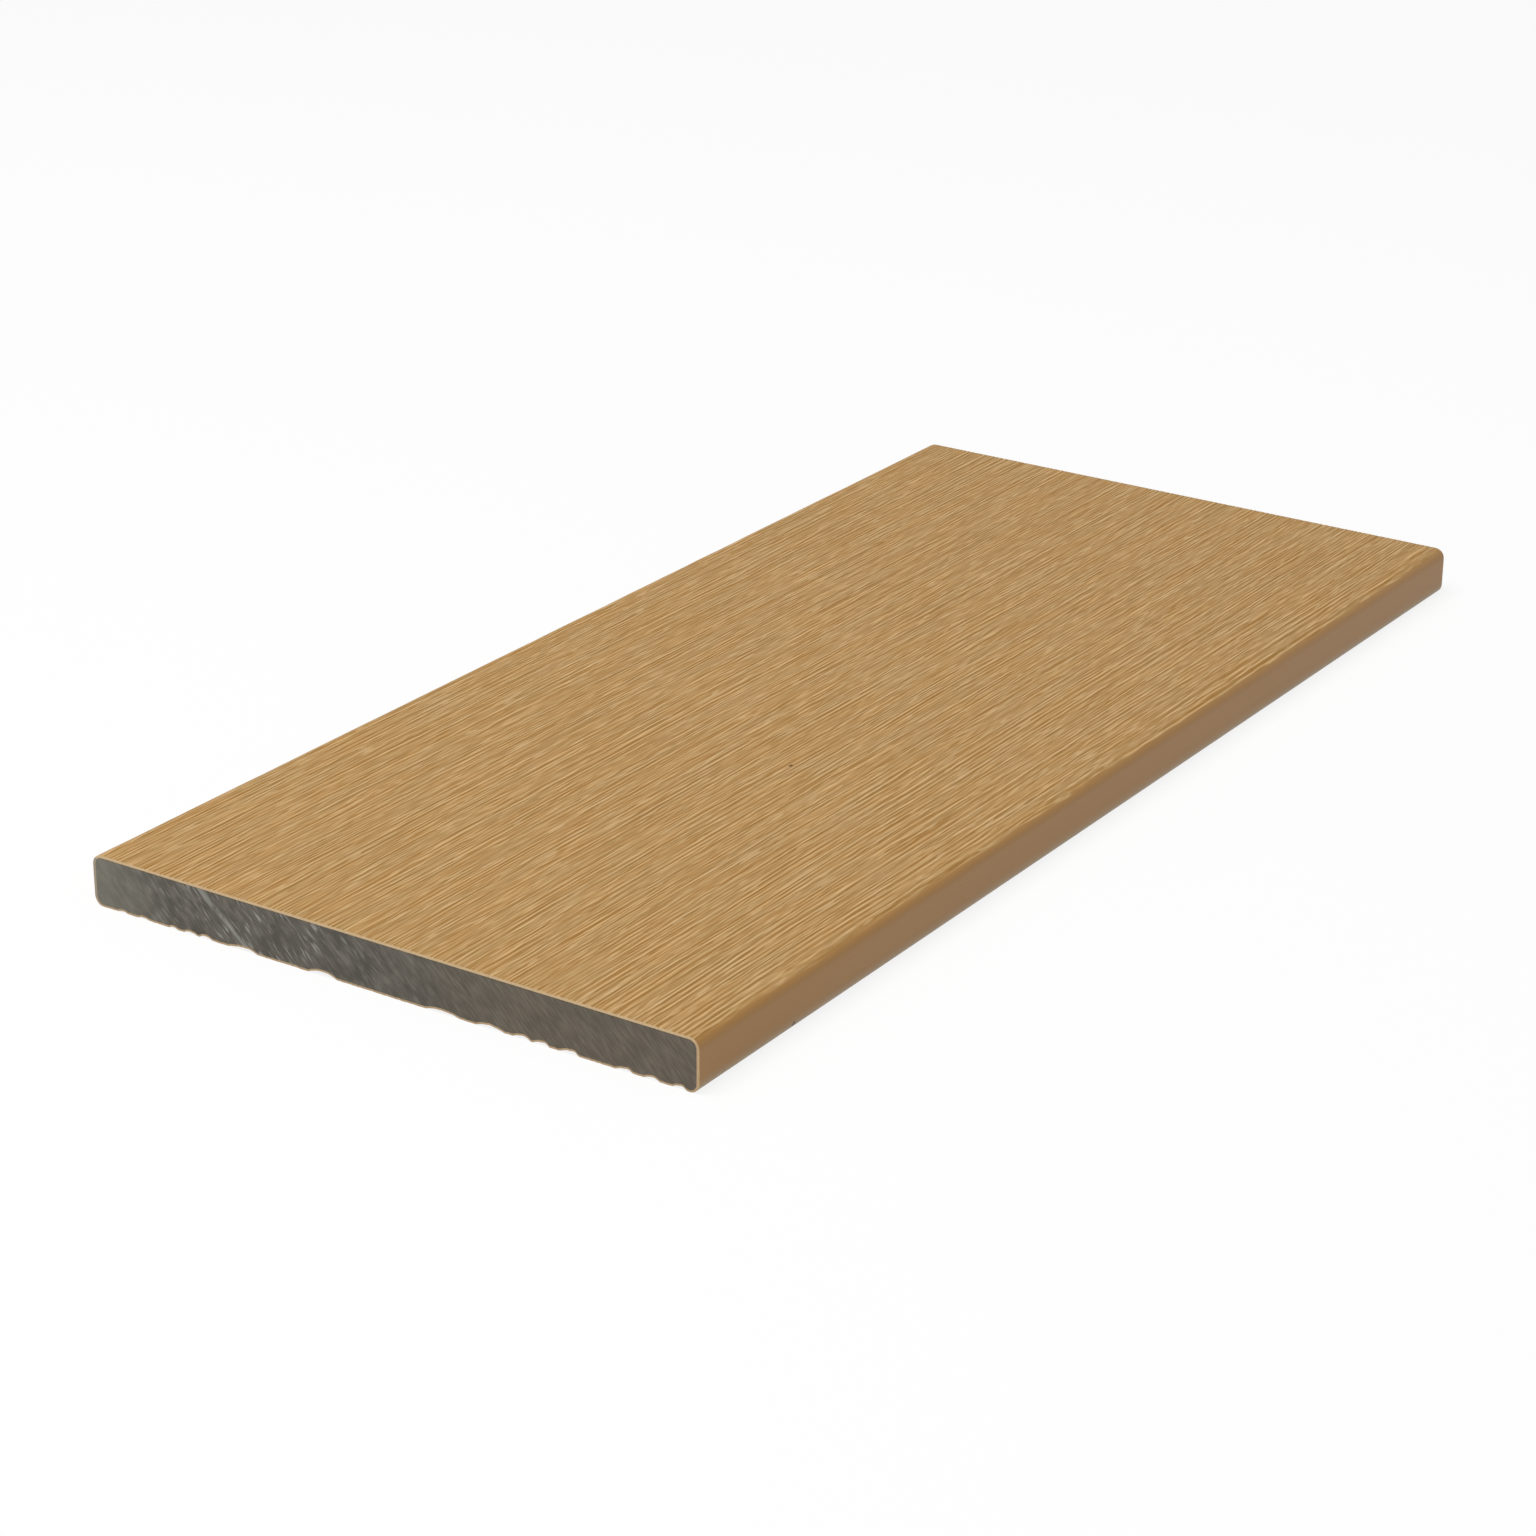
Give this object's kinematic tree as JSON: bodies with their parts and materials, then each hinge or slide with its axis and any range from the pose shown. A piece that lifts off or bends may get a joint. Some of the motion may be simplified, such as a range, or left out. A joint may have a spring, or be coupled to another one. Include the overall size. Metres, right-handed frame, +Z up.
{
  "type": "decking edge trim board",
  "caption": "Flat capped composite trim board with a brushed-grain show face, smooth rounded long edges, a grooved back and square-cut ends, for facing the edge of a deck.",
  "frame": {"origin": "middle of the back, the face that the board lies on", "axes": "+X across the width, +Y along the length, +Z up out of the show face"},
  "size_m": [0.184, 0.4, 0.0142],
  "materials": {
    "core": "matte",
    "cap": "matte"
  },
  "bodies": {
    "root": {"composite_core": "core", "polymer_cap": "cap"}
  },
  "joints": []
}
